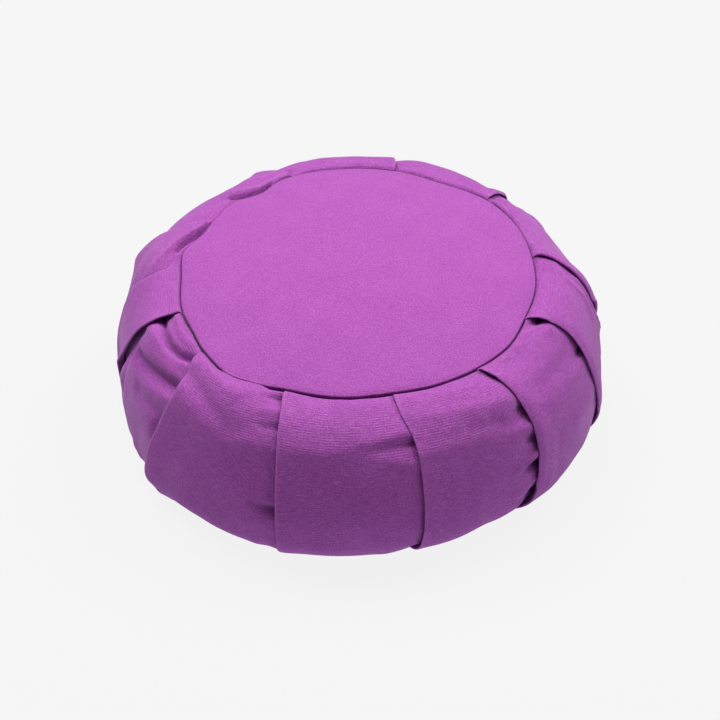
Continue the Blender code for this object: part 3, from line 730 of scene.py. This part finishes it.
def mesh_object(name, points, faces, uv, marks):
    mesh = bpy.data.meshes.new(name)
    mesh.from_pydata([tuple(p) for p in points], [], faces)
    layer = mesh.uv_layers.new(name="cloth")
    corners = np.array([c for face in uv for c in face], dtype=np.float32)
    layer.data.foreach_set("uv", corners.ravel())
    for title, weights in marks.items():
        mark = mesh.attributes.new(title, "FLOAT", "POINT")
        mark.data.foreach_set("value", np.asarray(weights, dtype=np.float32))
    mesh.shade_smooth()
    thing = bpy.data.objects.new(name, mesh)
    bpy.context.scene.collection.objects.link(thing)
    return thing


def outline_centre():
    """The middle of the box round the upper seam's outline, seen from the cushion's axis."""
    degrees = np.arange(0.0, TURN, 0.5)
    x = seam_outline(degrees) * np.cos(np.radians(degrees))
    y = seam_outline(degrees) * np.sin(np.radians(degrees))
    return Vector(((x.min() + x.max()) / 2, (y.min() + y.max()) / 2, 0.0))


def cushion_axis():
    """Where the cushion's axis stands in the frame, from the top panel's solid."""
    low, high = (Vector(corner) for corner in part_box("top_panel"))
    middle = (low + high) / 2
    return Vector((middle.x, middle.y, 0.0)) - outline_centre()


AXIS = np.array(cushion_axis()[:])


def build_side(name):
    """The filled side: the strip's outer face, closed by plain ends that lie hidden under the two panels."""
    points, edge, painted_shade, share = strip_surface()
    laid = cloth_lengths(points)
    rows, columns = points.shape[:2]
    numbers = np.arange(rows * columns).reshape(rows, columns)
    faces, uv = [], []
    across = share[:, 0] * STRIP_WIDTH
    for row in range(rows - 1):
        for column in range(columns):
            quad = (row, column), (row + 1, column), (row + 1, column + 1), (row, column + 1)
            faces.append(tuple(int(numbers[r, c % columns]) for r, c in quad))
            uv.append(tuple((laid[r, c], -across[r]) for r, c in quad))
    all_points = [points.reshape(-1, 3)]
    total = rows * columns
    for edge_row, top in ((0, True), (rows - 1, False)):
        ring = numbers[edge_row]
        drop = UPPER_END_DROP if top else LOWER_END_DROP
        for scale, lower in ((0.995, drop), (0.93, drop * (0.6 if top else 0.4)), (0.5, drop * 0.3)):
            inner = points[edge_row] * np.array([scale, scale, 1.0])
            inner[:, 2] = (SEAM_HEIGHT - GROOVE_DEPTH if top else LOWER_SEAM_HEIGHT + GROOVE_DEPTH) + lower
            made = np.arange(total, total + columns)
            for column in range(columns):
                following = (column + 1) % columns
                quad = (int(ring[column]), int(ring[following]), int(made[following]), int(made[column]))
                faces.append(quad if top else quad[::-1])
                uv.append(((0.0, 0.0),) * 4)
            all_points.append(inner)
            ring = made
            total += columns
        middle = points[edge_row].mean(axis=0)
        middle[2] = all_points[-1][0, 2]
        all_points.append(middle[None])
        for column in range(columns):
            fan = (total, int(ring[column]), int(ring[(column + 1) % columns]))
            faces.append(fan if top else fan[::-1])
            uv.append(((0.0, 0.0),) * 3)
        total += 1
    placed = np.concatenate(all_points) + AXIS
    rest = np.zeros(len(placed) - edge.size)
    marks = {"lap_edge": edge, "painted_shade": painted_shade}
    marks = {title: np.concatenate([weights.ravel(), rest]) for title, weights in marks.items()}
    return mesh_object(name, placed, faces, uv, marks)


def panel_profile(crown, count=46):
    """A panel's outer face from its middle to its sewn edge: rows of (share of the radius, inset, height)."""
    flat = 1.0 - (1.0 - np.linspace(0.0, 1.0, count)) ** RING_SPACING
    height = crown / MM * (1.0 - flat**CROWN_POWER)
    keep = (1.0 - flat) * SEAM_RADIUS / MM > TURN_START
    rows = [(float(s), 0.0, float(h)) for s, h in zip(flat[keep], height[keep], strict=True)]
    return rows + [(1.0, inset, -drop) for inset, drop in EDGE_TURN]


def panel_faces(crown, outward, seed):
    """A round panel's two faces, a thickness apart, as rings of points, and the painted shade on its turned
    edge.
    """
    degrees = np.arange(RIM_POINTS) * TURN / RIM_POINTS
    turned = np.radians(degrees)
    outline = seam_outline(degrees) + (seam_bump(degrees) if outward > 0 else 0.0)
    drop = seam_open(degrees) if outward > 0 else np.ones(RIM_POINTS)
    rings, shades = [], []
    for share, inset, height in panel_profile(crown):
        distance = share * (outline - inset * MM)
        level = height * MM * (drop if height < 0 else 1.0) + 0 * turned
        rings.append(np.stack([distance * np.cos(turned), distance * np.sin(turned), level], axis=1))
        shades.append(EDGE_SHADE * float(smooth_step(0.1, 1.2, -height)) * drop)
    face = np.stack(rings)
    rim = np.linalg.norm(face[:, :, :2], axis=-1) / outline[None, :]
    inward = (1.0 - rim) * SEAM_RADIUS / MM
    face[:, :, 2] += MM * smooth_step(0.0, CALM_RIM, inward) * (
        ripples(face, *PANEL_WAVES, seed) + ripples(face, *PANEL_RIPPLES, seed + 1)
    ) * (1.0 if outward > 0 else BOTTOM_WAVES)
    pucker = np.exp(-(((inward - PANEL_PUCKER_PLACE) / PANEL_PUCKER_REACH) ** 2))
    face[:, :, 2] += MM * pucker * ripples(face * np.array([1.0, 1.0, 0.0]), *PANEL_PUCKERS, seed + 2)
    back = face.copy()
    slope = np.gradient(face[:, :, 2], axis=0)
    run = np.gradient(np.linalg.norm(face[:, :, :2], axis=-1), axis=0)
    size = np.hypot(slope, run) + 1e-9
    out = np.stack([np.cos(turned), np.sin(turned)], axis=-1)[None]
    back[:, :, :2] += (slope / size)[..., None] * out * CLOTH_THICKNESS
    back[:, :, 2] -= run / size * CLOTH_THICKNESS
    return face, back, np.array(shades)


def build_panel(name, base, crown, outward, seed):
    """A round panel of cloth with its turned-down sewn edge, closed between its two faces at the rim."""
    *sheets, shades = panel_faces(crown, outward, seed)
    sheets = [sheet * np.array([1.0, 1.0, outward]) + np.array([0.0, 0.0, base]) for sheet in sheets]
    points = [tuple(p) for sheet in sheets for p in sheet[1:].reshape(-1, 3)]
    faces, uv = [], []
    rings = len(shades) - 1

    def number(sheet, ring, step):
        return (sheet * rings + ring) * RIM_POINTS + step % RIM_POINTS

    def add(corners, flip):
        corners = corners[::-1] if flip else corners
        faces.append(tuple(corners))
        uv.append(tuple((points[c][0], points[c][1]) for c in corners))

    for which in (0, 1):
        flip = (which == 1) != (outward < 0)
        for ring in range(rings - 1):
            for step in range(RIM_POINTS):
                quad = (ring, step), (ring + 1, step), (ring + 1, step + 1), (ring, step + 1)
                add([number(which, *corner) for corner in quad], flip)
        middle = len(points)
        points.append((0.0, 0.0, float(sheets[which][0, 0, 2])))
        for step in range(RIM_POINTS):
            add([middle, number(which, 0, step), number(which, 0, step + 1)], flip)
    for step in range(RIM_POINTS):
        quad = (1, step), (1, step + 1), (0, step + 1), (0, step)
        add([number(sheet, rings - 1, place) for sheet, place in quad], outward < 0)
    # The painted shade on the turned-down edge, the same on both faces; the two middles get none.
    around = shades[1:].ravel()
    painted_shade = np.concatenate([around, around, [0.0, 0.0]])
    return mesh_object(name, np.array(points) + AXIS, faces, uv, {"painted_shade": painted_shade})


def cotton(name, warp_pitch, weft_pitch, rib, slub):
    """Purple cotton canvas: a plain weave with slubs and flecks, fuzz at glancing angles, lap edges paled by
    wear and a painted highlight, and painted shade in tucks and seams.

    The pitches are the threads' spacing along and across the strip, in metres; rib says how far the crossing
    threads stand out as ribs, and slub how strongly their thicker places show.
    """
    material = bpy.data.materials.new(name)
    material.use_nodes = True
    nodes, links = material.node_tree.nodes, material.node_tree.links
    shader = nodes["Principled BSDF"]
    shader.inputs["Roughness"].default_value = 0.88
    shader.inputs["Specular IOR Level"].default_value = 0.20
    shader.inputs["Sheen Weight"].default_value = 0.50
    shader.inputs["Sheen Roughness"].default_value = 0.34
    shader.inputs["Sheen Tint"].default_value = (0.86, 0.62, 0.90, 1.0)

    def node(kind, **settings):
        made = nodes.new(kind)
        for key, value in settings.items():
            setattr(made, key, value)
        return made

    def math_node(operation, *values):
        made = node("ShaderNodeMath", operation=operation)
        for slot, value in enumerate(values):
            if isinstance(value, (int, float)):
                made.inputs[slot].default_value = value
            else:
                links.new(value, made.inputs[slot])
        return made.outputs[0]

    def scaled(value, middle, factor):
        return math_node("MULTIPLY", math_node("SUBTRACT", value, middle), factor)

    def mixed(factor, a, b):
        mix = node("ShaderNodeMix", data_type="RGBA")
        for slot, value in (("Factor", factor), ("A", a), ("B", b)):
            if isinstance(value, tuple):
                mix.inputs[slot].default_value = (*value, 1.0)
            else:
                links.new(value, mix.inputs[slot])
        return mix.outputs["Result"]

    uv = node("ShaderNodeUVMap", uv_map="cloth")
    split = node("ShaderNodeSeparateXYZ")
    links.new(uv.outputs["UV"], split.inputs[0])

    def flecks(long, high, detail, seed):
        mapping = node("ShaderNodeMapping")
        mapping.inputs["Scale"].default_value = (1.0 / long, 1.0 / high, 1.0)
        mapping.inputs["Location"].default_value = (seed, seed * 0.7, 0.0)
        links.new(uv.outputs["UV"], mapping.inputs["Vector"])
        noise = node("ShaderNodeTexNoise", noise_dimensions="2D")
        noise.inputs["Scale"].default_value = 1.0
        noise.inputs["Detail"].default_value = detail
        noise.inputs["Roughness"].default_value = 0.65
        links.new(mapping.outputs[0], noise.inputs["Vector"])
        return noise.outputs["Fac"]

    warp_slub = flecks(0.0009, 0.0045, 1.0, 3.1)
    weft_slub = flecks(0.0060, 0.0010, 1.0, 7.7)
    grain = flecks(0.0011, 0.0011, 2.0, 1.3)
    hue = flecks(0.0016, 0.0016, 1.0, 4.3)
    cloudy = flecks(0.025, 0.025, 2.0, 5.9)
    warp = math_node("SINE", math_node("MULTIPLY", split.outputs["X"], 2 * math.pi / warp_pitch))
    weft = math_node("SINE", math_node("MULTIPLY", split.outputs["Y"], 2 * math.pi / weft_pitch))
    crossings = math_node("MULTIPLY", warp, weft)
    warp_thick = math_node("MULTIPLY", scaled(warp_slub, 0.5, 0.7), slub)
    slubs = math_node("ADD", warp_thick, scaled(weft_slub, 0.5, slub))
    height = math_node("MULTIPLY_ADD", crossings, 0.5, math_node("MULTIPLY", weft, rib))
    height = math_node("ADD", height, math_node("MULTIPLY_ADD", slubs, 2.2, scaled(grain, 0.5, 2.4)))
    bump = node("ShaderNodeBump")
    bump.inputs["Strength"].default_value = 0.6
    bump.inputs["Distance"].default_value = 0.00020
    links.new(height, bump.inputs["Height"])
    links.new(bump.outputs["Normal"], shader.inputs["Normal"])

    tone = math_node("ADD", scaled(grain, 0.5, 1.5), math_node("MULTIPLY", slubs, 0.9))
    tone = math_node("ADD", tone, scaled(cloudy, 0.5, 0.22))
    tone = math_node("ADD", tone, math_node("MULTIPLY_ADD", crossings, 0.06, 0.5))
    ramp = node("ShaderNodeValToRGB")
    ramp.color_ramp.elements[0].color = (*DEEP_PURPLE, 1.0)
    ramp.color_ramp.elements[1].color = (*PALE_PURPLE, 1.0)
    ramp.color_ramp.elements.new(0.5).color = (*PURPLE, 1.0)
    links.new(tone, ramp.inputs["Fac"])
    flecked = mixed(scaled(hue, 0.52, 1.6), ramp.outputs["Color"], PINK_PURPLE)
    # Lap edges and sharp crests are paled by wear and a painted highlight, and painted shade darkens tucks,
    # pinched troughs, the seam and the panels' turned edges.
    wear_and_highlight = node("ShaderNodeAttribute", attribute_name="lap_edge").outputs["Fac"]
    painted_shade = node("ShaderNodeAttribute", attribute_name="painted_shade").outputs["Fac"]
    worn_and_highlit = mixed(math_node("MULTIPLY", wear_and_highlight, 0.40), flecked, PALE_PURPLE)
    links.new(mixed(math_node("MULTIPLY", painted_shade, 0.75), worn_and_highlit, PAINTED_SHADE_PURPLE), shader.inputs["Base Color"])
    return material


PURPLE = (0.470, 0.106, 0.505)
PALE_PURPLE = (0.620, 0.190, 0.625)
DEEP_PURPLE = (0.340, 0.062, 0.390)
PINK_PURPLE = (0.560, 0.110, 0.480)
# The colour that painted shade darkens the cloth towards.
PAINTED_SHADE_PURPLE = (0.060, 0.008, 0.075)
SIDE_CLOTH = cotton("side_cotton", 0.0014, 0.0015, rib=0.55, slub=0.8)
PANEL_CLOTH = cotton("panel_cotton", 0.0013, 0.0013, rib=0.05, slub=0.45)

side = build_side("side_cloth")
top = build_panel("top_cloth", SEAM_HEIGHT, CROWN, 1, 21)
bottom = build_panel("bottom_cloth", BOTTOM_LIFT, 0.0, -1, 31)

for piece, node_name, material in (
    (side, "pleated_side", SIDE_CLOTH),
    (top, "top_panel", PANEL_CLOTH),
    (bottom, "bottom_panel", PANEL_CLOTH),
):
    piece.data.materials.append(material)
    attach(piece, "root")
    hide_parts(node_name)

# The floor, the light and the camera.
FLOOR_SIZE = 14.0
floor_mesh = bpy.data.meshes.new("floor")
corners = [(x * FLOOR_SIZE / 2, y * FLOOR_SIZE / 2, 0.0) for x, y in ((-1, -1), (1, -1), (1, 1), (-1, 1))]
floor_mesh.from_pydata(corners, [], [(0, 1, 2, 3)])
floor = bpy.data.objects.new("floor", floor_mesh)
bpy.context.scene.collection.objects.link(floor)
floor_paint = bpy.data.materials.new("floor_paint")
floor_paint.use_nodes = True
floor_shader = floor_paint.node_tree.nodes["Principled BSDF"]
floor_shader.inputs["Base Color"].default_value = (0.05, 0.05, 0.05, 1.0)
floor_shader.inputs["Roughness"].default_value = 0.9
floor_shader.inputs["Specular IOR Level"].default_value = 0.0
floor_shader.inputs["Emission Color"].default_value = (1.0, 1.0, 1.0, 1.0)
floor_shader.inputs["Emission Strength"].default_value = 0.865
floor_mesh.materials.append(floor_paint)
floor.visible_diffuse = False
floor.visible_glossy = False
floor.visible_shadow = False


def area_light(name, place, target, size, power):
    data = bpy.data.lights.new(name, "AREA")
    data.shape = "SQUARE"
    data.size = size
    data.energy = power
    lamp = bpy.data.objects.new(name, data)
    lamp.location = place
    lamp.rotation_euler = (Vector(target) - Vector(place)).to_track_quat("-Z", "Y").to_euler()
    bpy.context.scene.collection.objects.link(lamp)


# The softboxes: each one's direction from the cushion (degrees round and off the vertical) and its power.
SOFTBOX_DISTANCE = 2.6
SOFTBOX_SIZE = 1.5
SOFTBOXES = {
    "left_softbox": (135.0, 24.0, 54.0),
    "right_softbox": (32.0, 35.0, 36.0),
    "low_fill": (320.0, 72.0, 3.0),
}
for name, (around, tilt, power) in SOFTBOXES.items():
    around, tilt = math.radians(around), math.radians(tilt)
    toward = Vector((math.sin(tilt) * math.cos(around), math.sin(tilt) * math.sin(around), math.cos(tilt)))
    area_light(name, SOFTBOX_DISTANCE * toward, (0.0, 0.0, 0.05), SOFTBOX_SIZE, power)

# The light that the pale table throws back up.
TABLE_GLOW = (0.68, 0.70, 0.75, 1.0)
ROOM_GLOW = (0.02, 0.02, 0.02, 1.0)
world = bpy.data.worlds.new("studio")
world.use_nodes = True
world_nodes, world_links = world.node_tree.nodes, world.node_tree.links
direction = world_nodes.new("ShaderNodeTexCoord")
world_split = world_nodes.new("ShaderNodeSeparateXYZ")
world_ramp = world_nodes.new("ShaderNodeValToRGB")
world_links.new(direction.outputs["Generated"], world_split.inputs[0])
world_links.new(world_split.outputs["Z"], world_ramp.inputs["Fac"])
world_ramp.color_ramp.elements[0].position = 0.0
world_ramp.color_ramp.elements[0].color = TABLE_GLOW
world_ramp.color_ramp.elements[1].position = 0.03
world_ramp.color_ramp.elements[1].color = ROOM_GLOW
world_links.new(world_ramp.outputs["Color"], world_nodes["Background"].inputs["Color"])
bpy.context.scene.world = world

CAMERA_ELEVATION = math.radians(42.0)
CAMERA_DISTANCE = 1.5
CAMERA_FOCAL_PIXELS = 2146.0
PICTURE_PIXELS = 720.0
CAMERA_TARGET = Vector((0.0016, 0.0, 0.036)) + Vector(AXIS)
camera_data = bpy.data.cameras.new("camera")
camera_data.sensor_width = 36.0
camera_data.lens = CAMERA_FOCAL_PIXELS / PICTURE_PIXELS * camera_data.sensor_width
camera = bpy.data.objects.new("camera", camera_data)
toward_camera = Vector((0.0, -math.cos(CAMERA_ELEVATION), math.sin(CAMERA_ELEVATION)))
camera.location = CAMERA_TARGET + CAMERA_DISTANCE * toward_camera
camera.rotation_euler = (math.pi / 2 - CAMERA_ELEVATION, 0.0, 0.0)
bpy.context.scene.collection.objects.link(camera)
bpy.context.scene.camera = camera
bpy.context.scene.view_settings.view_transform = "Standard"
